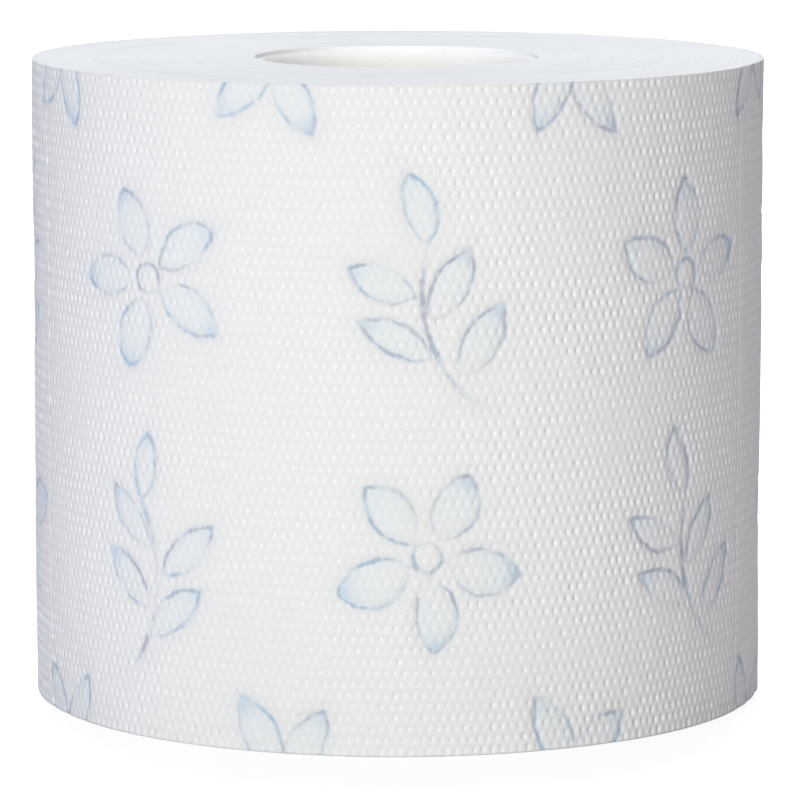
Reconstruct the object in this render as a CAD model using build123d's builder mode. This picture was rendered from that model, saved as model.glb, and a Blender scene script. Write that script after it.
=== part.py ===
from build123d import *

import os
from math import cos, degrees, floor, radians, sin

# Toilet paper roll: a soft perforated paper web wound on a board tube, standing on one end.
# Millimetres, +Z up along the winding axis, origin at the centre of the lower end, front towards -Y.
# From its free end, the tail, the web winds inwards clockwise as seen from above.

# Paper web
roll_diameter = 112.0  # across the outermost turn at the tail
web_width = 97.0  # the height of the standing roll
sheet_thickness = 0.45  # one soft turn, and so the step at the tail
sheet_length = 132.0  # along the web, from one perforation to the next
tail_angle = 111.0  # degrees from +X to the tail, which lies on the back

# Board tube
tube_bore = 41.6
tube_wall = 0.6
tube_inset = 0.6  # the tube's ends lie this far inside the web's

# Turns on the two ends: bundles of turns that stand proud and lie low by turns, as one spiral band
bundle_width = 4.6
bundle_step = 0.4
bundle_margin = 1.2  # plain paper left between the innermost low bundle and the tube

# Perforations: a row of slits through the outermost turn, with uncut bonds between them
slit_length = 6.0
slit_width = 0.3
bond_length = 1.0

# Emboss: blossoms of pointed petals pressed into the outermost turn, alternately low and high
emboss_depth = 0.35
blossoms_per_sheet = 3
blossom_shift = -6.0  # along the web, from the middle of a blossom's share of the sheet
blossom_turn = 25.0  # degrees, from one blossom to the next
blossom_size = 28.0
blossom_centre = 6.0  # plain paper inside the petals
petal_count = 5
petal_gap = 3.6  # plain paper between neighbouring petals
low_share = 0.3  # of the web's width, up to the middle of a low blossom

full_turn = 360
half_turn = 180
quarter_turn = 90
roll_radius = roll_diameter / 2
tube_radius = tube_bore / 2 + tube_wall
tail_plane = Plane.XY.rotated((0, 0, tail_angle))


def winding_arc(start_radius, pitch, half_turns):
    """One half turn of a clockwise spiral made of tangent half circles about two centres.

    start_radius is where the spiral starts on the tail's side, and it loses half a pitch on each half turn.
    """
    side = 1 if half_turns % 2 == 0 else -1
    radius = start_radius - half_turns * pitch / 2 - pitch / 4
    start_angle = 0 if side == 1 else half_turn
    return CenterArc((side * pitch / 4, 0), radius, start_angle, -half_turn)


def low_band(face_plane, depth):
    """Solid of the spiral band of low bundles, cut inwards from the given end of the roll."""
    pitch = 2 * bundle_width
    outer_start = roll_radius - bundle_width
    inner_start = outer_start - bundle_width
    room = inner_start - tube_radius - bundle_margin
    half_turns = floor(2 * room / pitch)
    with BuildPart() as band:
        with BuildSketch(face_plane):
            with BuildLine():
                walls = [
                    [winding_arc(start, pitch, n) for n in range(half_turns)]
                    for start in (outer_start, inner_start)
                ]
                Line(*[wall[0] @ 0 for wall in walls])
                Line(*[wall[-1] @ 1 for wall in walls])
            make_face()
        extrude(amount=depth)
    return band.part


def web_plane(along, height, tilt=0, depth=0):
    """Plane facing outwards, at a depth below the face of the outermost turn.

    along is the distance from the tail along the web and height is above the lower end. tilt turns the
    plane's own x axis from the way that the web winds towards +Z, in degrees.
    """
    turned = degrees(along / roll_radius)
    angle = radians(tail_angle - turned)
    reach = roll_radius - sheet_thickness * turned / full_turn - depth
    outwards = Vector(cos(angle), sin(angle), 0)
    onwards = Vector(sin(angle), -cos(angle), 0)
    upwards = Vector(0, 0, 1)
    own_x = onwards * cos(radians(tilt)) + upwards * sin(radians(tilt))
    return Plane(outwards * reach + upwards * height, x_dir=own_x, z_dir=outwards)


def petal_planes(along, height, turn, reach):
    """Planes at the bottom of a blossom's petals, each with its x axis pointing away from the middle."""
    tilts = [turn + n * full_turn / petal_count for n in range(petal_count)]
    return [
        web_plane(
            along + reach * cos(radians(tilt)), height + reach * sin(radians(tilt)), tilt, emboss_depth
        )
        for tilt in tilts
    ]


# Board tube: one plain wall
with BuildPart() as core_tube:
    with BuildSketch(Plane.XY.offset(tube_inset)):
        Circle(tube_radius)
        Circle(tube_bore / 2, mode=Mode.SUBTRACT)
    extrude(amount=web_width - 2 * tube_inset)
core_tube.part.label = "core_tube"

# Slits and petals, placed along the outermost turn from the tail
web_turn = roll_diameter * radians(half_turn)
slit_pitch = slit_length + bond_length
slit_count = floor((web_width - bond_length) / slit_pitch)
first_slit = (web_width - (slit_count - 1) * slit_pitch) / 2
slits = [
    web_plane((line + 1) * sheet_length, first_slit + n * slit_pitch)
    for line in range(floor(web_turn / sheet_length))
    for n in range(slit_count)
]
blossom_spacing = sheet_length / blossoms_per_sheet
blossom_heights = [low_share * web_width, (1 - low_share) * web_width]
petal_length = (blossom_size - blossom_centre) / 2
petal_reach = (blossom_centre + petal_length) / 2
petal_width = 2 * petal_reach * sin(radians(half_turn / petal_count)) - petal_gap
first_blossom = blossom_spacing / 2 + blossom_shift
room = web_turn - first_blossom - blossom_size / 2
petals = []
for n in range(1 + floor(room / blossom_spacing)):
    along = first_blossom + n * blossom_spacing
    turn = quarter_turn + n * blossom_turn
    petals += petal_planes(along, blossom_heights[n % 2], turn, petal_reach)

# Wound web: one solid, wound tight on the tube, with the outermost turn ending in the tail's step
lower_band = low_band(tail_plane, bundle_step)
upper_band = low_band(tail_plane.offset(web_width), -bundle_step)

with BuildPart() as paper_roll:
    with BuildSketch(tail_plane):
        with BuildLine():
            first_half = winding_arc(roll_radius, sheet_thickness, 0)
            second_half = winding_arc(roll_radius, sheet_thickness, 1)
            Line(second_half @ 1, first_half @ 0)
        make_face()
        Circle(tube_radius, mode=Mode.SUBTRACT)
    extrude(amount=web_width)
    add([lower_band, upper_band], mode=Mode.SUBTRACT)
    with Locations(*slits):
        Box(slit_width, slit_length, 2 * sheet_thickness, mode=Mode.SUBTRACT)
    with BuildSketch(*petals):
        with BuildLine():
            ThreePointArc((-petal_length / 2, 0), (0, petal_width / 2), (petal_length / 2, 0))
            ThreePointArc((petal_length / 2, 0), (0, -petal_width / 2), (-petal_length / 2, 0))
        make_face()
    extrude(amount=2 * emboss_depth, mode=Mode.SUBTRACT)
paper_roll.part.label = "paper_roll"

os.makedirs("parts", exist_ok=True)
for piece in (core_tube, paper_roll):
    export_step(piece.part, f"parts/{piece.part.label}.step")
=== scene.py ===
import math

import bpy
import numpy as np
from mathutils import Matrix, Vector


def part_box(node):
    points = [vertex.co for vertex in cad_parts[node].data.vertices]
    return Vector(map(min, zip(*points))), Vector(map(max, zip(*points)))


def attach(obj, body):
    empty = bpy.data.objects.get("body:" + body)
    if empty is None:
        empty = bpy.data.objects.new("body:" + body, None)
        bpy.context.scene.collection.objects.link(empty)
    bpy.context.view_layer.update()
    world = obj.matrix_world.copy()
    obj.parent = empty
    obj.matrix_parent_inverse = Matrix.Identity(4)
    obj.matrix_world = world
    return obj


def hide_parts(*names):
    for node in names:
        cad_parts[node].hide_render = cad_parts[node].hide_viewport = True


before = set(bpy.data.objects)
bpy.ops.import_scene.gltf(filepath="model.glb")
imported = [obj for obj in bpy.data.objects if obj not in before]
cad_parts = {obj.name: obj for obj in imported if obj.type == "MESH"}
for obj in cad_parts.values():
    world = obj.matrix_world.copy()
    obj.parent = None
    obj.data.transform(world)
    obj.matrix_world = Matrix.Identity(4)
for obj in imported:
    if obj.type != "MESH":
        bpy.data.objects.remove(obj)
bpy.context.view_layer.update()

# Toilet paper roll: three embossed sheets of the outermost turn, the wound turns under them and a tube.
# Metres, +Z up along the winding axis, front towards -Y.
# Seen from above, the web winds clockwise from its tail.

MM = 0.001
TURN = 2 * math.pi

# Paper web, as in the part's source
roll_radius = 56.0 * MM
sheet_thickness = 0.45 * MM
sheet_length = 132.0 * MM
tail_angle = math.radians(111)
web_turn = TURN * roll_radius
web_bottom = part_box("paper_roll")[0].z
web_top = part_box("paper_roll")[1].z
web_width = web_top - web_bottom

# Slow unevenness of the web's face. A length that is called a wave is a wavelength, here and below.
long_wave = 38.0 * MM
long_wave_height = 0.08 * MM
short_wave = 9.0 * MM
short_wave_height = 0.02 * MM

# Small dimples in staggered rows
dimples_per_sheet = 97
dimple_rows = 59
samples_per_dimple = 4
dimple_depth = 0.14 * MM
dimple_pitch = sheet_length / dimples_per_sheet
row_pitch = web_width / dimple_rows
dimple_narrowness = 1.6  # power of the raised cosine along a row
dimple_shortness = 4.4  # power of the raised cosine across the rows
dimple_stray = 0.07 * MM
stray_wave = 4.5 * MM

# Strength of the dimples, from one to the next and from patch to patch
dimple_spread = 0.65  # the faintest has this much less than the strongest
patch_wave = 24.0 * MM
patch_mean = 0.85
patch_swing = 0.22
patch_least = 0.4

# Emboss lines, pressed in and printed pale blue, and how far they flatten the dimples
line_depth = 0.20 * MM
line_half_width = 0.46 * MM
line_flattening = 0.5
hollow_depth = 0.05 * MM
hollow_power = 1 / 6  # a small power of the line widens it to its hollow
fill_depth = 0.08 * MM
fill_softness = 0.22 * MM
fill_flattening = 0.2
dent_shade_power = 1 / 20  # and to the painted shade of the dent around it
pen_wobble = 0.10 * MM
wobble_wave = 3.2 * MM
outline_reach = 3.0 * MM  # longer distances from an outline are cut to this

# Blossoms and sprigs, which change places from one column to the next
columns_per_sheet = 3
column_spacing = sheet_length / columns_per_sheet
column_shift = -6.0 * MM  # from the middle of a column's share of the sheet
first_column = column_spacing / 2 + column_shift
low_share = 0.3  # of the web's width, up to the middle of a low motif
blossom_size = 28.0 * MM
blossom_turn = math.radians(25)
blossom_centre = 6.0 * MM  # plain paper inside the petals
ring_share = 0.36  # the ring's radius, as a share of the centre
petal_count = 5
petal_gap = 3.6 * MM
sprig_height = 36.0 * MM
sprig_lean = 0.5  # radians at most, to either side
stem_bend = 3.6 * MM
stem_half_width = 0.12 * MM
leaf_pairs = 2
leaf_length = 12.5 * MM
leaf_width = 5.4 * MM
leaf_tilt = math.radians(50)
leaf_offset = 0.9 * MM
leaf_rise = 0.5 * MM
leaf_shrinkage = 0.18  # from the stem's foot to its tip

# Shares of a sprig's stem: up to its lowest leaf, from pair to pair, and between the two of a pair
lowest_leaf = 0.16
pair_spacing = 0.40
pair_stagger = 0.16

# Sprays, which the web's edges cut off
edge_cut = 3.5 * MM  # from the edge out to the point where the leaves meet
spray_lean = 0.3  # radians at most, to either side
spray_spread = (0.5, 0.7)  # least and most, in radians from the spray's middle

# Perforations and the torn tail
slit_length = 6.0 * MM
bond_length = 1.0 * MM
bond_softness = 0.1 * MM
bond_hold = 0.8  # share of the tear's dip that a bond takes away
tear_depth = 0.05 * MM
tear_half_width = 0.3 * MM
slit_gap = 0.03 * MM
torn_gap = 0.5 * MM
tail_lift = 0.35 * MM
tail_lift_reach = 5.0 * MM
tail_wave = 60.0 * MM
tail_mean = 0.6
tail_swing = 0.4
under_tail = 6.0 * MM  # how far the last sheet goes on beneath the tail

# Wound turns
turn_bundle = 0.9 * MM
turn_groove = 0.07 * MM
groove_share = 0.16  # of a bundle's width
turn_scatter = 0.05 * MM
turn_recess = 0.12 * MM
end_wave = 45.0 * MM
end_wave_height = 0.1 * MM
seat_share = 0.9  # of the outermost sheet's thickness, from its face to these turns
wall_recess = 0.5 * MM
rim_width = 1.5 * MM
rim_dip = 0.02 * MM
end_samples = 150
end_steps = 300
mouth_gap = 0.3 * MM
mouth_gap_depth = 7.0 * MM
mouth_gap_narrowness = 24  # power of the cosine that keeps the gap at the sides

# Board tube
tube_low, tube_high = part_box("core_tube")
tube_outer = (tube_high.x - tube_low.x) / 2
tube_wall = 0.6 * MM
tube_steps = 200
tube_rows = 60
seam_angle = math.radians(-110)
seam_lead = 72.0 * MM
seam_depth = 0.08 * MM
seam_half_width = 0.3 * MM
seam_crowding = 1.7  # power that draws the grid's steps to the seam
proud_height = 0.04 * MM
proud_reach = 4.0 * MM
oval_height = 0.12 * MM
oval_phase = 0.7  # radians
twist_height = 0.05 * MM
twist_angle = 6  # radians over the web's width


def web_angle(along):
    """Angle round the axis: the tail's angle, less the distance along the web over the roll's radius."""
    return tail_angle - along / roll_radius


def web_radius(along):
    """Radius of the outer face: it falls evenly by one sheet thickness in each turn."""
    return roll_radius - sheet_thickness * along / web_turn


def round_axis(radius, angle, height):
    """Points from a radius, an angle and a height: the radius times the angle's cosine, the radius times
    its sine, and the height."""
    radius, angle, height = np.broadcast_arrays(radius, angle, height)
    return np.stack([radius * np.cos(angle), radius * np.sin(angle), height], axis=-1)


def bell(distance, half_width):
    """Bell curve of a distance: e to minus the square of the distance over the half width."""
    return np.exp(-((distance / half_width) ** 2))


def step_down(value, softness):
    """Soft step from 1 where the value is negative to 0 where it is positive: the logistic curve."""
    limit = 30
    return 1 / (1 + np.exp(np.clip(value / softness, -limit, limit)))


def ripples(x, y, wavelength, seed):
    """Soft unevenness, about -1 to 1: a few plane cosine waves of about one wavelength, added up and
    divided by the root of their number, with directions, lengths and phases drawn from the seed."""
    waves = 7
    shortest = 0.7
    longest = 1.5
    draw = np.random.default_rng(seed)
    total = np.zeros(np.broadcast(x, y).shape)
    for _ in range(waves):
        heading, phase = draw.uniform(0, TURN, 2)
        length = wavelength * draw.uniform(shortest, longest)
        total += np.cos(TURN * (x * math.cos(heading) + y * math.sin(heading)) / length + phase)
    return total / math.sqrt(waves)


def web_wave(along, height):
    """Slow unevenness of the web's face: long ripples plus weaker short ones."""
    long_ripples = long_wave_height * ripples(along, height, long_wave, seed=21)
    return long_ripples + short_wave_height * ripples(along, height, short_wave, seed=22)


def strayed(along, height):
    """Place of a point in the dimples' lattice: its own place plus short ripples, so that the dimples
    stray a little from their straight rows."""
    return (
        along + dimple_stray * ripples(along, height, stray_wave, seed=13),
        height + dimple_stray * ripples(along, height, stray_wave, seed=14),
    )


def dimple_lattice(along, height):
    """Dimples from 0 to 1: a raised cosine along the row times a raised cosine across the rows, each to
    a power that sets how narrow the dimple is. Every second row is shifted by half a pitch."""
    around = np.cos(TURN * along / dimple_pitch)
    across = np.cos(math.pi * (height / row_pitch - 0.5))
    even = (0.5 + 0.5 * around) ** dimple_narrowness * (0.5 + 0.5 * across) ** dimple_shortness
    odd = (0.5 - 0.5 * around) ** dimple_narrowness * (0.5 - 0.5 * across) ** dimple_shortness
    return even + odd


def dimple_strength(along, height):
    """Each dimple's own strength, drawn once for each cell of the staggered lattice.

    A cell has the number of the nearest row, counted up from the lower end, and of the nearest dimple in
    that row, counted from the tail. Slow ripples make the emboss deeper in one patch and fainter in
    another.
    """
    sheets = 3
    spare = 4
    row = np.clip(np.rint(height / row_pitch - 0.5).astype(int), 0, dimple_rows)
    column = np.rint(along / dimple_pitch - 0.5 * (row % 2)).astype(int)
    cells = (dimple_rows + 1, sheets * dimples_per_sheet + spare)
    own = np.random.default_rng(11).uniform(1 - dimple_spread, 1, cells)[row, column]
    patch = patch_mean + patch_swing * ripples(along, height, patch_wave, seed=12)
    return own * np.clip(patch, patch_least, 1)


def pointed_oval(x, y, length, width):
    """Distance outside a pointed oval along x, negative inside: the oval is where two equal discs
    overlap, and the distance is the larger of the distances from their rims."""
    radius = (length**2 + width**2) / (4 * width)
    offset = radius - width / 2
    return np.maximum(np.hypot(x, y - offset), np.hypot(x, y + offset)) - radius


def pen_pressure(turned, draw):
    """Strength of a drawn outline round its shape: a mean plus two slow waves with drawn phases."""
    mean = 0.66
    once_round = 0.30
    twice_round = 0.26
    least = 0.05
    phases = draw.uniform(0, TURN, 2)
    waves = once_round * np.cos(turned + phases[0]) + twice_round * np.cos(2 * turned + phases[1])
    return np.clip(mean + waves, least, 1.0)


def motif(outline, pen, tint=0.0, wash=0.0):
    """The four layers of a drawn motif: the distance from its outline, which is negative inside, the
    pen's pressure on the outline, the pale tint inside and the ink washed into the tips."""
    layers = np.broadcast_arrays(outline, pen, tint, wash)
    return dict(zip(("outline", "pen", "tint", "wash"), layers))


def drawn_leaf(x, y, tilt, length, width, draw):
    """One petal or leaf, which starts at the point x = y = 0 and leans at tilt.

    The point is turned back by the tilt, and bowed by a parabola. The outline is a pointed oval. Its pen
    pressure varies round it, grows at the far tip and may fade at the foot. The tint grows towards the
    tip, where a wash of ink fills the point, the more so where the foot fades.
    """
    # Differences between one leaf and the next
    sway = 0.06
    lengths = (0.94, 1.05)
    widths = (0.85, 1.05)
    most_bow = 0.25
    most_opening = 1.3
    # Shares of the leaf's length, and strengths
    tip_share = 0.22
    tip_pressure = 0.5
    foot_share = 0.20
    tint_middle = 0.65
    tint_slope = 0.7
    tint_least = 0.3
    wash_share = 0.17
    wash_least = 0.2

    tilt = tilt + draw.normal(0, sway)
    length = length * draw.uniform(*lengths)
    width = width * draw.uniform(*widths)
    bow = draw.uniform(-most_bow, most_bow)
    opening = min(draw.uniform(0, most_opening), 1)
    outwards = x * math.cos(tilt) + y * math.sin(tilt) - length / 2
    sideways = y * math.cos(tilt) - x * math.sin(tilt)
    sideways = sideways + bow * (outwards**2 - length**2 / 4) / length
    distance = pointed_oval(outwards, sideways, length, width)
    turned = np.arctan2(sideways / width, outwards / length)

    from_tip = outwards - length / 2
    tip = bell(from_tip, tip_share * length)
    foot = bell(outwards + length / 2, foot_share * length)
    pressure = np.clip(pen_pressure(turned, draw) + tip_pressure * tip, 0, 1) * (1 - opening * foot)
    inside = step_down(distance, fill_softness)
    tint = inside * np.clip(tint_middle + tint_slope * outwards / length, tint_least, 1)
    wash_strength = wash_least + (1 - wash_least) * opening
    wash = inside * bell(from_tip, wash_share * length) * wash_strength
    return motif(distance, pressure, tint, wash)


def merged(motifs):
    """Several motifs laid over each other: the nearest outline with its pen, the largest tint and wash."""
    layers = {label: np.stack([drawn[label] for drawn in motifs]) for label in motifs[0]}
    nearest = np.argmin(np.abs(layers["outline"]), axis=0)[None]
    return motif(
        np.take_along_axis(layers["outline"], nearest, 0)[0],
        np.take_along_axis(layers["pen"], nearest, 0)[0],
        layers["tint"].max(axis=0),
        layers["wash"].max(axis=0),
    )


def blossom(x, y, turn, draw):
    """Five pointed petals round a small ring, each starting at the edge of the plain centre."""
    petal_length = (blossom_size - blossom_centre) / 2
    petal_reach = (blossom_centre + petal_length) / 2
    petal_width = 2 * petal_reach * math.sin(math.pi / petal_count) - petal_gap
    ring_radius = ring_share * blossom_centre
    drawn = [motif(np.hypot(x, y) - ring_radius, pen_pressure(np.arctan2(y, x), draw))]
    for n in range(petal_count):
        tilt = turn + n * TURN / petal_count
        foot_x = math.cos(tilt) * blossom_centre / 2
        foot_y = math.sin(tilt) * blossom_centre / 2
        drawn.append(drawn_leaf(x - foot_x, y - foot_y, tilt, petal_length, petal_width, draw))
    return merged(drawn)


def stem_middle(share, bend):
    """Sideways place of a stem at a share of its length: a parabola that bows out half-way."""
    return bend * (4 * share * (1 - share) - 0.5)


def sprig(x, y, draw):
    """A bent stem with pairs of leaves that shrink upwards, and one leaf at its tip.

    The whole leans to one side. The stem's middle is a parabola in x over the height y, its outline lies
    a fixed distance from that middle, and each leaf starts on it. The pen's pressure on the stem is a
    cosine wave over its length, with a phase that comes from the lean.
    """
    pen_waves = 5  # radians over the stem's length
    phase_per_lean = 9
    pen_least = 0.15
    pen_most = 0.9
    lean = draw.uniform(-sprig_lean, sprig_lean)
    x, y = x * math.cos(lean) - y * math.sin(lean), x * math.sin(lean) + y * math.cos(lean)
    bend = draw.choice([-1, 1]) * stem_bend
    foot = -sprig_height / 2
    stem_length = sprig_height - leaf_length
    share = (y - foot) / stem_length
    beyond = stem_length * np.maximum(np.maximum(-share, share - 1), 0)
    pen = np.clip(0.5 + 0.5 * np.cos(pen_waves * share + lean * phase_per_lean), pen_least, pen_most)
    drawn = [motif(np.hypot(x - stem_middle(share, bend), beyond) - stem_half_width, pen)]
    for n in range(2 * leaf_pairs + 1):
        at_tip = n == 2 * leaf_pairs
        leaf_share = 1.0 if at_tip else lowest_leaf + pair_spacing * (n // 2) + pair_stagger * (n % 2)
        side = 0 if at_tip else 1 - 2 * (n % 2)
        size = 1.0 - leaf_shrinkage * leaf_share
        leaf_x = x - stem_middle(leaf_share, bend) - side * leaf_offset
        leaf_y = y - foot - leaf_share * stem_length - leaf_rise
        tilt = math.pi / 2 - side * leaf_tilt
        drawn.append(drawn_leaf(leaf_x, leaf_y, tilt, size * leaf_length, size * leaf_width, draw))
    return merged(drawn)


def edge_spray(x, inwards, draw):
    """Two leaves that spread from a point outside the web's edge, so that the edge cuts them off."""
    middle = math.pi / 2 + draw.uniform(-spray_lean, spray_lean)
    spread = draw.uniform(*spray_spread)
    return merged(
        [
            drawn_leaf(x, inwards + edge_cut, middle + side * spread, leaf_length, leaf_width, draw)
            for side in (-1, 1)
        ]
    )


def web_pattern(along, height):
    """The drawn motifs over the web: in each column a blossom and a sprig, one low and one high, and
    half-way to the next column a spray at each edge. Local x runs to the right as seen from outside,
    against the winding. Short ripples make the outlines wobble as if drawn by hand."""
    levels = [low_share * web_width, (1 - low_share) * web_width]
    columns = 1 + math.floor((web_turn - first_column - blossom_size / 2) / column_spacing)
    drawn = []
    for n in range(columns):
        x = first_column + n * column_spacing - along
        turn = math.pi / 2 - n * blossom_turn
        draw = np.random.default_rng([5, n])
        drawn.append(blossom(x, height - levels[n % 2], turn, draw))
        drawn.append(sprig(x, height - levels[1 - n % 2], draw))
        between = x + column_spacing / 2
        drawn.append(edge_spray(between, height, draw))
        drawn.append(edge_spray(between, web_width - height, draw))
    layers = merged(drawn)
    layers["outline"] = layers["outline"] + pen_wobble * ripples(along, height, wobble_wave, seed=24)
    return layers


def bonds(height):
    """Uncut share of a perforation, 0 in a slit and 1 on a bond: a steep step on the distance from the
    middle of the nearest bond."""
    pitch = slit_length + bond_length
    count = math.floor((web_width - bond_length) / pitch)
    first_bond = (web_width - count * pitch) / 2
    from_bond = np.abs((height - first_bond + pitch / 2) % pitch - pitch / 2)
    return step_down(from_bond - bond_length / 2, bond_softness)


def skin(name, grid, closed_path, smooth, materials, values):
    """Closed skin over a grid of points, grid[step along the path, point of the closed profile].

    Neighbouring points are joined by quads, the profile closes on itself, and the path closes too or
    ends in two many-cornered caps. The path winds clockwise and the profile goes up on its outer side, so
    that the faces point outwards. smooth says which stretches of the profile are shaded smooth and take
    the first material. The rest and the caps take the last. values are point attributes.
    """
    steps, points = grid.shape[:2]
    index = np.arange(steps * points).reshape(steps, points)
    path = np.concatenate([index, index[:1]]) if closed_path else index
    here, there = path[:-1], path[1:]
    quads = np.stack([here, np.roll(here, -1, 1), np.roll(there, -1, 1), there], axis=-1).reshape(-1, 4)
    caps = [] if closed_path else [index[0][::-1], index[-1]]
    corners = np.concatenate([quads.ravel(), *caps]).astype(np.int32)
    sizes = np.concatenate([np.full(len(quads), 4), [len(cap) for cap in caps]]).astype(np.int32)
    starts = np.concatenate([[0], np.cumsum(sizes)[:-1]]).astype(np.int32)
    soft = np.concatenate([np.tile(smooth, len(here)), np.zeros(len(caps), bool)])
    slots = np.where(soft, 0, len(materials) - 1).astype(np.int32)

    mesh = bpy.data.meshes.new(name)
    mesh.vertices.add(steps * points)
    mesh.vertices.foreach_set("co", grid.reshape(-1).astype(np.float32))
    mesh.loops.add(len(corners))
    mesh.loops.foreach_set("vertex_index", corners)
    mesh.polygons.add(len(sizes))
    mesh.polygons.foreach_set("loop_start", starts)
    mesh.polygons.foreach_set("loop_total", sizes)
    mesh.polygons.foreach_set("use_smooth", soft)
    mesh.polygons.foreach_set("material_index", slots)
    for label, value in values.items():
        attribute = mesh.attributes.new(label, "FLOAT", "POINT")
        attribute.data.foreach_set("value", value.reshape(-1).astype(np.float32))
    mesh.update(calc_edges=True)
    mesh.validate()
    for material in materials:
        mesh.materials.append(material)
    piece = bpy.data.objects.new(name, mesh)
    bpy.context.scene.collection.objects.link(piece)
    return piece


def outer_sheet(name, start, end, materials):
    """One sheet of the outermost turn, as a thin closed slab.

    Its outer face is the web's radius with slow ripples, less the dimples, the pressed lines in their
    wide hollows, the tinted insides and the dips along its perforated ends. The tail's end stands off a
    little.
    """
    is_tail = start == 0
    columns = samples_per_dimple * round((end - start) / dimple_pitch)
    rows = samples_per_dimple * dimple_rows
    along, height = np.meshgrid(
        np.linspace(start, end, columns + 1), np.linspace(0, web_width, rows + 1), indexing="ij"
    )
    drawn = web_pattern(along, height)
    tint = drawn["tint"]
    line = bell(drawn["outline"], line_half_width) * drawn["pen"]
    dimple_along, dimple_height = strayed(along, height)
    room = dimple_strength(dimple_along, dimple_height)
    room = room * (1 - line_flattening * line) * (1 - fill_flattening * tint)
    dimples = dimple_lattice(dimple_along, dimple_height) * room
    from_end = np.minimum(np.abs(along - start), np.abs(end - along))
    tear = bell(from_end, tear_half_width) * (1 - bond_hold * bonds(height))
    waviness = tail_mean + tail_swing * ripples(height, 0 * height, tail_wave, seed=23)
    lift = tail_lift * waviness * np.exp(-along / tail_lift_reach)
    outer = web_radius(along) + web_wave(along, height) + lift
    line_press = line_depth * line + hollow_depth * line**hollow_power
    face = outer - dimple_depth * dimples - line_press - fill_depth * tint - tear_depth * tear

    cut_along = along.copy()
    slits = 1 - bonds(height[0])
    cut_along[0] += (torn_gap if is_tail else slit_gap) * slits
    cut_along[-1] -= slit_gap * slits
    angle = web_angle(cut_along)
    level = web_bottom + height
    edges = [-1, 0]
    face_points = round_axis(face, angle, level)
    back_points = round_axis(outer[:, edges] - sheet_thickness, angle[:, edges], level[:, edges])
    grid = np.concatenate([face_points, back_points], axis=1)
    smooth = np.arange(grid.shape[1]) < rows
    values = {
        "along_rows": dimple_along,
        "above_first_row": dimple_height - row_pitch / 2,
        "room": room,
        "bleed": line,
        # Where the painted shade of the dents round the lines lies: the line widened by a small power
        "dent_shade": line**dent_shade_power,
        "outline_mm": np.clip(drawn["outline"], -outline_reach, outline_reach) / MM,
        "pen": drawn["pen"],
        "tint": tint,
        "wash": drawn["wash"],
    }
    values = {label: np.pad(value, ((0, 0), (0, len(edges)))) for label, value in values.items()}
    return skin(name, grid, False, smooth, materials, values)


def turn_height(radius, along):
    """Height of the turns' edges over an end, about 0.

    Counting bundles of turns inwards along the spiral, a groove parts each from the next (a narrow bell
    curve of the place within the bundle), and each bundle stands higher or lower by random heights,
    joined by straight lines, that go on from one turn to the next.
    """
    draws_per_turn = 3
    draw_count = 400
    first_draw = 40
    share = along / web_turn
    inwards = (roll_radius - radius) / turn_bundle - share
    number = np.floor(inwards)
    within = inwards - number
    groove = bell(np.minimum(within, 1 - within), groove_share)
    draws = np.random.default_rng(31).normal(0, 1, draw_count)
    stand = np.interp((number + share) * draws_per_turn + first_draw, np.arange(draw_count), draws)
    x = radius * np.cos(web_angle(along))
    y = radius * np.sin(web_angle(along))
    slow = ripples(x, y, end_wave, seed=32)
    return turn_scatter * stand - turn_groove * groove + end_wave_height * slow


def wound_turns(name, material):
    """All turns under the outermost one, as one closed ring.

    Its profile goes inwards over the upper end, down the mouth, back over the lower end and up the outer
    wall, which lies a little deeper between the ends. Both ends carry the turns' relief. At both sides of
    the mouth, a slim gap opens towards the tube, widest at the end and closing further in.
    """
    along = np.linspace(0, web_turn, end_steps, endpoint=False)[:, None]
    angle = web_angle(along)
    outer = web_radius(along) - seat_share * sheet_thickness
    inner = tube_outer + mouth_gap * np.abs(np.cos(angle)) ** mouth_gap_narrowness
    share = np.linspace(1, 0, end_samples)[None, :]
    ends = []
    for height, into_roll, shift in ((web_width, -1, 0), (0, 1, 0.5 * web_turn)):
        radius = inner + (outer + web_wave(along, height) - inner) * share
        inside = 1 - bell(outer - radius, rim_width)
        dip = inside * np.maximum(turn_recess - turn_height(radius, along + shift), 0) + rim_dip
        ends.append(round_axis(radius, angle, web_bottom + (height + into_roll * dip)))
    upper, lower = ends
    mouth_heights = np.array([[web_top - mouth_gap_depth, web_bottom + mouth_gap_depth]])
    mouth_points = mouth_heights.shape[1]
    mouth = round_axis(np.full_like(mouth_heights, tube_outer), angle, mouth_heights)
    wall_heights = np.array([[web_bottom + 2 * wall_recess, web_top - 2 * wall_recess]])
    wall = round_axis(outer - wall_recess, angle, wall_heights)
    grid = np.concatenate([upper, mouth, lower[:, ::-1], wall], axis=1)
    smooth = np.zeros(grid.shape[1], bool)
    smooth[: end_samples - 1] = True
    smooth[end_samples + mouth_points : 2 * end_samples + mouth_points - 1] = True
    return skin(name, grid, True, smooth, [material], {})


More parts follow.
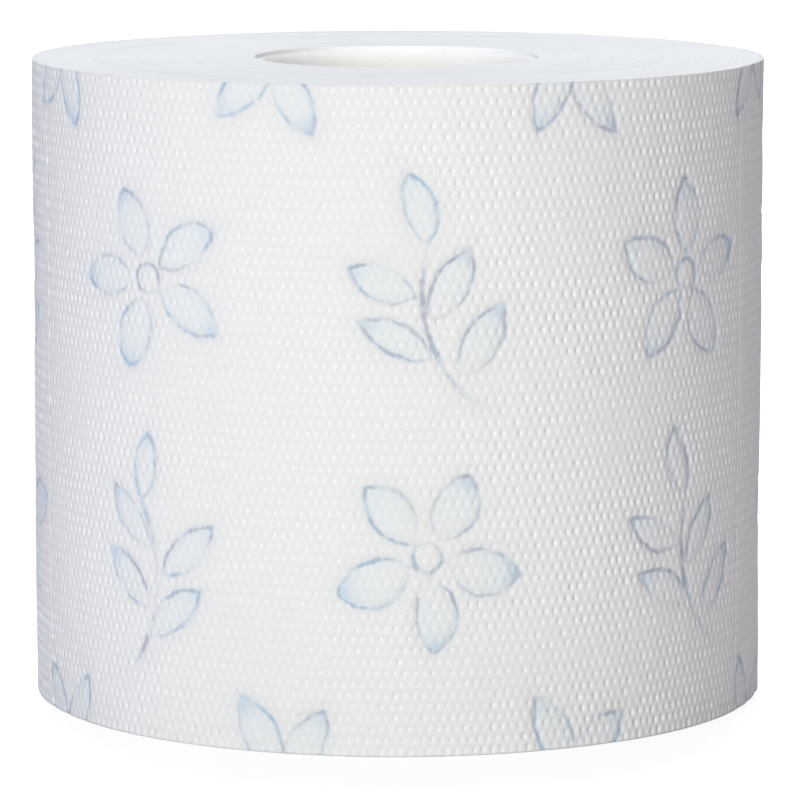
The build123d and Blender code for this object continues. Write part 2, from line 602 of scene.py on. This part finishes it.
def board_tube(name, material):
    """Board tube, wound from a strip: a thin wall whose bore shows the strip's butt seam.

    The grid's steps round the axis lean along the seam's helix, and lie closer together near the seam.
    The bore is a little oval, which is a cosine of twice the angle, and a little three-sided with a twist.
    At the seam its radius grows by a bell curve, and one side of the seam stands proud. Each rim's profile
    dips at both its edges and between the two plies.
    """
    even = np.linspace(-1, 1, tube_steps, endpoint=False)
    from_seam = (np.sign(even) * np.abs(even) ** seam_crowding * math.pi)[::-1, None]
    bore = tube_outer - tube_wall
    height = np.linspace(tube_high.z, tube_low.z, tube_rows)[None, :]
    angle = from_seam + seam_angle + TURN * (height - tube_high.z) / seam_lead
    distance = from_seam * bore
    proud = proud_height * np.exp(-np.clip(distance, 0, None) / proud_reach) * (distance > 0)
    oval = oval_height * np.cos(2 * angle + oval_phase)
    twist = twist_height * np.cos(3 * angle + twist_angle * height / web_width)
    inside = bore + oval + twist + seam_depth * bell(distance, seam_half_width) - proud

    # Profile of a rim: shares of the wall from one face to the other, and the dips there
    across = np.array([[0.0, 0.22, 0.45, 0.55, 0.78, 1.0]])
    dip = np.array([[0.05, 0.0, 0.06, 0.06, 0.0, 0.05]]) * MM
    rim_points = across.shape[1] - 1
    top_radius = tube_outer - tube_wall * across[:, :-1]
    low_radius = bore + tube_wall * across[:, 1:]
    top_rim = round_axis(top_radius, angle[:, :1], tube_high.z - dip[:, :-1])
    low_rim = round_axis(low_radius, angle[:, -1:], tube_low.z + dip[:, 1:])
    bore_wall = round_axis(inside, angle, height)
    outer_wall = round_axis(tube_outer, angle, height)[:, -2:0:-1]
    grid = np.concatenate([top_rim, bore_wall, low_rim, outer_wall], axis=1)
    smooth = np.zeros(grid.shape[1], bool)
    smooth[rim_points : rim_points + tube_rows - 1] = True
    smooth[2 * rim_points + tube_rows - 1 :] = True
    return skin(name, grid, True, smooth, [material], {})


class Finish:
    """A material under construction: its node tree, and short ways to add and join nodes."""

    def __init__(self, name, roughness, gloss):
        self.material = bpy.data.materials.new(name)
        self.material.use_nodes = True
        self.tree = self.material.node_tree
        self.shader = self.tree.nodes["Principled BSDF"]
        self.shader.inputs["Roughness"].default_value = roughness
        self.shader.inputs["Specular IOR Level"].default_value = gloss

    def add(self, kind, **settings):
        """New node with its own settings."""
        node = self.tree.nodes.new(kind)
        for label, value in settings.items():
            setattr(node, label, value)
        return node

    def join(self, source, target):
        """Link from an output to an input."""
        self.tree.links.new(source, target)

    def paint(self, colour):
        """Link from a colour to the shader's own."""
        self.join(colour, self.shader.inputs["Base Color"])

    def attribute(self, label):
        """A point attribute's value."""
        return self.add("ShaderNodeAttribute", attribute_name=label).outputs["Fac"]

    def from_origin(self, axes):
        """Distance from the origin, on Object coordinates that are first multiplied by axes."""
        place = self.add("ShaderNodeTexCoord")
        flat = self.add("ShaderNodeVectorMath", operation="MULTIPLY")
        flat.inputs[1].default_value = axes
        reach = self.add("ShaderNodeVectorMath", operation="LENGTH")
        self.join(place.outputs["Object"], flat.inputs[0])
        self.join(flat.outputs["Vector"], reach.inputs[0])
        return reach.outputs["Value"]

    def noise(self, scale, detail, stretch=(1, 1, 1)):
        """Noise on Object coordinates, from 0 to 1, with its own stretch along the axes."""
        place = self.add("ShaderNodeTexCoord")
        turn = self.add("ShaderNodeMapping")
        turn.inputs["Scale"].default_value = stretch
        texture = self.add("ShaderNodeTexNoise")
        texture.inputs["Scale"].default_value = scale
        texture.inputs["Detail"].default_value = detail
        self.join(place.outputs["Object"], turn.inputs["Vector"])
        self.join(turn.outputs["Vector"], texture.inputs["Vector"])
        return texture.outputs["Fac"]

    def span(self, value, low, high, first=0.0, last=1.0):
        """A value stretched so that first gives low and last gives high, clamped."""
        node = self.add("ShaderNodeMapRange")
        node.inputs["From Min"].default_value = first
        node.inputs["From Max"].default_value = last
        node.inputs["To Min"].default_value = low
        node.inputs["To Max"].default_value = high
        self.join(value, node.inputs["Value"])
        return node.outputs["Result"]

    def math(self, operation, first, second=0.0):
        """One arithmetic step between an output and an output or a number."""
        node = self.add("ShaderNodeMath", operation=operation)
        self.join(first, node.inputs[0])
        if isinstance(second, (int, float)):
            node.inputs[1].default_value = second
        else:
            self.join(second, node.inputs[1])
        return node.outputs[0]

    def times(self, first, second):
        """Product of an output and an output or a number."""
        return self.math("MULTIPLY", first, second)

    def wave(self, value, period, sign, power):
        """Raised cosine of a length, from 0 to 1: half of 1 plus or minus the cosine, to a power."""
        cosine = self.math("COSINE", self.times(value, TURN / period))
        raised = self.span(cosine, 0.5 - 0.5 * sign, 0.5 + 0.5 * sign, first=-1)
        return self.math("POWER", raised, power)

    def blend(self, share, first, second):
        """Colour that goes from the first to the second as the share goes from 0 to 1."""
        node = self.add("ShaderNodeMix", data_type="RGBA")
        self.join(share, node.inputs["Factor"])
        for value, target in ((first, node.inputs[6]), (second, node.inputs[7])):
            if isinstance(value, tuple):
                target.default_value = (*value, 1)
            else:
                self.join(value, target)
        return node.outputs[2]

    def bump(self, height, distance, strength):
        """Normal from a height."""
        node = self.add("ShaderNodeBump")
        node.inputs["Distance"].default_value = distance
        node.inputs["Strength"].default_value = strength
        self.join(height, node.inputs["Height"])
        self.join(node.outputs["Normal"], self.shader.inputs["Normal"])


def emboss(finish):
    """The mesh's lattice of dimples once more, as a value from 0 to 1, so that each keeps a clear form."""
    along = finish.attribute("along_rows")
    across = finish.attribute("above_first_row")
    even, odd = [
        finish.times(
            finish.wave(along, dimple_pitch, sign, dimple_narrowness),
            finish.wave(across, 2 * row_pitch, sign, dimple_shortness),
        )
        for sign in (1, -1)
    ]
    return finish.times(finish.math("ADD", even, odd), finish.attribute("room"))


def pen_line(finish, dimples, fibres):
    """Share of ink that the pen leaves, with lengths in millimetres as in outline_mm.

    It is full within a reach of the outline that grows with the pen's pressure, and fades out over a short
    edge that the fibres make ragged. It is worn in patches, and weaker under a light pen and in dimples.
    """
    reach = (0.13, 0.24)
    raggedness = 0.45
    fading_edge = (-0.16, 0.20)
    most_ink = 0.85
    left_when_worn = 0.12
    wear_band = (0.36, 0.56)
    light_pen = 0.1
    full_pressure = 0.7
    in_dimples = 0.5

    pen = finish.attribute("pen")
    wear = finish.noise(scale=330, detail=2)
    distance = finish.math("ABSOLUTE", finish.attribute("outline_mm"))
    ragged = finish.math("ADD", distance, finish.span(fibres, -raggedness, raggedness))
    edge = finish.math("SUBTRACT", ragged, finish.span(pen, *reach))
    inked = finish.span(edge, most_ink, 0.0, *fading_edge)
    inked = finish.times(inked, finish.span(wear, left_when_worn, 1.0, *wear_band))
    inked = finish.times(inked, finish.span(pen, light_pen, 1.0, last=full_pressure))
    return finish.times(inked, finish.span(dimples, 1.0, in_dimples))


def printed_tissue():
    """Soft white tissue with mottled fibres and a faint cloudiness. The bottoms of the dimples are
    lighter, partly paper pressed whiter and partly a painted highlight for the light the emboss catches.
    Painted shade greys the paper in the wide dents round the pressed lines. The print is a pale tint
    inside the motifs, ink that has bled along the lines and into the tips, and the pen's own line, which
    drifts from blue to grey."""
    finish = Finish("printed_tissue", roughness=0.95, gloss=0.1)
    ground = (0.80, 0.807, 0.752)
    # Bottoms of the dimples: paper pressed whiter, and partly a painted highlight for the light the emboss
    # catches
    dimple_white_and_highlight = (0.975, 0.98, 0.94)
    cloud_grey = (0.79, 0.84, 0.83)
    fibre_white = (0.93, 0.94, 0.89)
    # Painted shade for the shadow in the wide dents round the pressed lines
    painted_dent_shade = (0.70, 0.71, 0.69)
    pale_blue = (0.65, 0.78, 0.81)
    wash_blue = (0.40, 0.58, 0.70)
    ink_blue = (0.36, 0.51, 0.62)
    ink_grey = (0.41, 0.42, 0.48)
    cloudiness = 0.14
    mottling = 0.10
    dent_shade_share = 0.25
    tint_share = 0.26
    bleed_range = (0.10, 0.35)
    wash_range = (0.3, 1.0)
    drift_band = (0.36, 0.58)
    fibre_relief = 0.3
    emboss_relief = 0.18 * MM

    dimples = emboss(finish)
    mottle = finish.noise(scale=2600, detail=4)
    cloud = finish.noise(scale=45, detail=2)
    drift = finish.noise(scale=90, detail=2)
    fibres = finish.noise(scale=1500, detail=5, stretch=(1, 1, 0.45))

    # Partly painted highlight: the dimples are painted lighter than the ground between them
    paper = finish.blend(dimples, ground, dimple_white_and_highlight)
    paper = finish.blend(finish.span(cloud, 0.0, cloudiness), paper, cloud_grey)
    paper = finish.blend(finish.span(mottle, 0.0, mottling), paper, fibre_white)
    # Painted shade: the paper greys in the wide dents round the pressed lines, for the shadow they hold
    paper = finish.blend(finish.times(finish.attribute("dent_shade"), dent_shade_share), paper, painted_dent_shade)
    paper = finish.blend(finish.times(finish.attribute("tint"), tint_share), paper, pale_blue)
    bled = finish.times(finish.attribute("bleed"), finish.span(fibres, *bleed_range))
    washed = finish.times(finish.attribute("wash"), finish.span(fibres, *wash_range))
    paper = finish.blend(finish.math("MAXIMUM", bled, washed), paper, wash_blue)

    ink = finish.blend(finish.span(drift, 0.0, 1.0, *drift_band), ink_blue, ink_grey)
    finish.paint(finish.blend(pen_line(finish, dimples, fibres), paper, ink))
    relief = finish.math("SUBTRACT", finish.times(fibres, fibre_relief), dimples)
    finish.bump(relief, emboss_relief, strength=1.0)
    return finish.material


def turn_edges():
    """Cut edges of the turns: fine rings round the axis in tone and in relief, broken up by fibres."""
    finish = Finish("turn_edges", roughness=0.95, gloss=0.1)
    low_ring = (0.79, 0.82, 0.81)
    high_ring = (0.86, 0.89, 0.875)
    fibre_white = (0.90, 0.91, 0.89)
    fibre_share = 0.25
    ring_relief = 0.08 * MM

    rings = finish.add("ShaderNodeTexNoise", noise_dimensions="1D")
    rings.inputs["Scale"].default_value = 2300
    rings.inputs["Detail"].default_value = 2
    finish.join(finish.from_origin(axes=(1, 1, 0)), rings.inputs["W"])
    ring = rings.outputs["Fac"]
    fibres = finish.noise(scale=2500, detail=4)
    colour = finish.blend(ring, low_ring, high_ring)
    finish.paint(finish.blend(finish.span(fibres, 0.0, fibre_share), colour, fibre_white))
    finish.bump(finish.math("ADD", ring, fibres), ring_relief, strength=0.5)
    return finish.material


def ivory_board():
    """Uncoated warm white board: long cream and ivory fibres along the tube, and small flecks."""
    finish = Finish("ivory_board", roughness=0.8, gloss=0.3)
    cream = (0.96, 0.96, 0.895)
    ivory = (0.985, 0.985, 0.945)
    fleck_brown = (0.62, 0.59, 0.52)
    fleck_level = 0.70
    fleck_share = 0.35
    fibre_relief = 0.08 * MM

    fibres = finish.noise(scale=600, detail=5, stretch=(1, 1, 0.3))
    flecks = finish.math("GREATER_THAN", finish.noise(scale=1900, detail=2), fleck_level)
    colour = finish.blend(fibres, cream, ivory)
    finish.paint(finish.blend(finish.times(flecks, fleck_share), colour, fleck_brown))
    finish.bump(fibres, fibre_relief, strength=0.5)
    return finish.material


# Pieces
cut_edges = turn_edges()
tissue = [printed_tissue(), cut_edges]
sheet_ends = [0, sheet_length, 2 * sheet_length, web_turn + under_tail]
sheet_names = ["tail_sheet", "front_sheet", "back_sheet"]
papers = [
    outer_sheet(name, start, end, tissue)
    for name, start, end in zip(sheet_names, sheet_ends[:-1], sheet_ends[1:])
]
papers.append(wound_turns("wound_turns", cut_edges))
for piece in papers:
    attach(piece, "root")
    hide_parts("paper_roll")
tube = board_tube("board_tube", ivory_board())
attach(tube, "root")
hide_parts("core_tube")


# Stage: a white floor that fades into a white surround, and soft lamps on all sides, the key front left
def to_background(tree):
    """1 for what the camera sees directly, in gloss or through something clear, and 0 for light on the
    object: the largest of three kinds of ray."""
    rays = tree.nodes.new("ShaderNodeLightPath")
    either = rays.outputs["Is Camera Ray"]
    for label in ("Is Glossy Ray", "Is Transmission Ray"):
        node = tree.nodes.new("ShaderNodeMath")
        node.operation = "MAXIMUM"
        tree.links.new(either, node.inputs[0])
        tree.links.new(rays.outputs[label], node.inputs[1])
        either = node.outputs[0]
    return either


def white_floor():
    """Square floor whose grey paint throws some light back on the object. To the camera it is lifted,
    the more the further it lies from the object, so that only a soft shadow close by is left."""
    side = 4.0
    to_object = (0.40, 0.40, 0.42)
    to_camera = (0.38, 0.38, 0.38)
    near_lift = 0.78
    near = 0.06
    far = 0.25

    mesh = bpy.data.meshes.new("floor")
    corners = [(-side, -side, 0), (side, -side, 0), (side, side, 0), (-side, side, 0)]
    mesh.from_pydata(corners, [], [(0, 1, 2, 3)])
    finish = Finish("floor_white", roughness=1.0, gloss=0.0)
    lift = finish.span(finish.from_origin(axes=(1, 1, 1)), near_lift, 1.0, first=near, last=far)
    seen = to_background(finish.tree)
    finish.paint(finish.blend(seen, to_object, to_camera))
    finish.join(finish.times(lift, seen), finish.shader.inputs["Emission Strength"])
    finish.shader.inputs["Emission Color"].default_value = (1, 1, 1, 1)
    mesh.materials.append(finish.material)
    floor = bpy.data.objects.new("floor", mesh)
    bpy.context.scene.collection.objects.link(floor)


def surround(ambient):
    """World that is white to the camera and a faint, even blue light to the object."""
    world = bpy.data.worlds.new("surround")
    world.use_nodes = True
    tree = world.node_tree
    background = tree.nodes["Background"]
    seen = tree.nodes.new("ShaderNodeMix")
    seen.data_type = "RGBA"
    seen.inputs[6].default_value = (*ambient, 1)
    seen.inputs[7].default_value = (1, 1, 1, 1)
    tree.links.new(to_background(tree), seen.inputs["Factor"])
    tree.links.new(seen.outputs[2], background.inputs["Color"])
    bpy.context.scene.world = world


def direction(azimuth, elevation):
    """Unit vector from the roll, given in degrees: the azimuth to the right of the front, and the
    elevation."""
    azimuth = math.radians(azimuth)
    elevation = math.radians(elevation)
    level = math.cos(elevation)
    return Vector((math.sin(azimuth) * level, -math.cos(azimuth) * level, math.sin(elevation)))


def soft_box(name, azimuth, elevation, size, level, colour=(1, 1, 1)):
    """Area lamp that faces the roll's middle. The level is the brightness that white paper facing it
    gets, and the size is the lamp's width and height."""
    distance = 2.4
    away = direction(azimuth, elevation)
    lamp = bpy.data.lights.new(name, "AREA")
    lamp.shape = "RECTANGLE"
    lamp.size, lamp.size_y = size
    lamp.energy = level * (math.pi * distance) ** 2
    lamp.color = colour
    stand = bpy.data.objects.new(name, lamp)
    stand.location = Vector((0, 0, web_width / 2)) + distance * away
    stand.rotation_euler = (-away).to_track_quat("-Z", "Y").to_euler()
    bpy.context.scene.collection.objects.link(stand)


def photo_camera():
    """Camera fitted to the photograph's outline of the roll: long lens, looking slightly down."""
    focal_pixels = 4894
    picture_width = 800
    aim = Vector((0.5, 0, 44.3)) * MM
    distance = 754 * MM
    away = direction(azimuth=0, elevation=8.26)
    camera = bpy.data.cameras.new("camera")
    camera.sensor_width = 36
    camera.lens = focal_pixels * camera.sensor_width / picture_width
    stand = bpy.data.objects.new("camera", camera)
    stand.location = aim + distance * away
    stand.rotation_euler = (-away).to_track_quat("-Z", "Y").to_euler()
    bpy.context.scene.collection.objects.link(stand)
    bpy.context.scene.camera = stand


white_floor()
surround(ambient=(0.015, 0.015, 0.05))
wide = (1.6, 0.7)
medium = (1.0, 0.7)
square = (1.0, 1.0)
soft_box("key", azimuth=-22, elevation=9, size=wide, level=0.91)
soft_box("fill", azimuth=70, elevation=12, size=medium, level=0.26, colour=(1.0, 0.92, 0.98))
soft_box("rim", azimuth=-85, elevation=10, size=medium, level=0.08, colour=(0.05, 0.05, 1.0))
soft_box("overhead", azimuth=180, elevation=72, size=square, level=0.54, colour=(0.97, 0.98, 1.0))
soft_box("back", azimuth=178, elevation=20, size=medium, level=0.68)
photo_camera()
bpy.context.scene.view_settings.view_transform = "Standard"
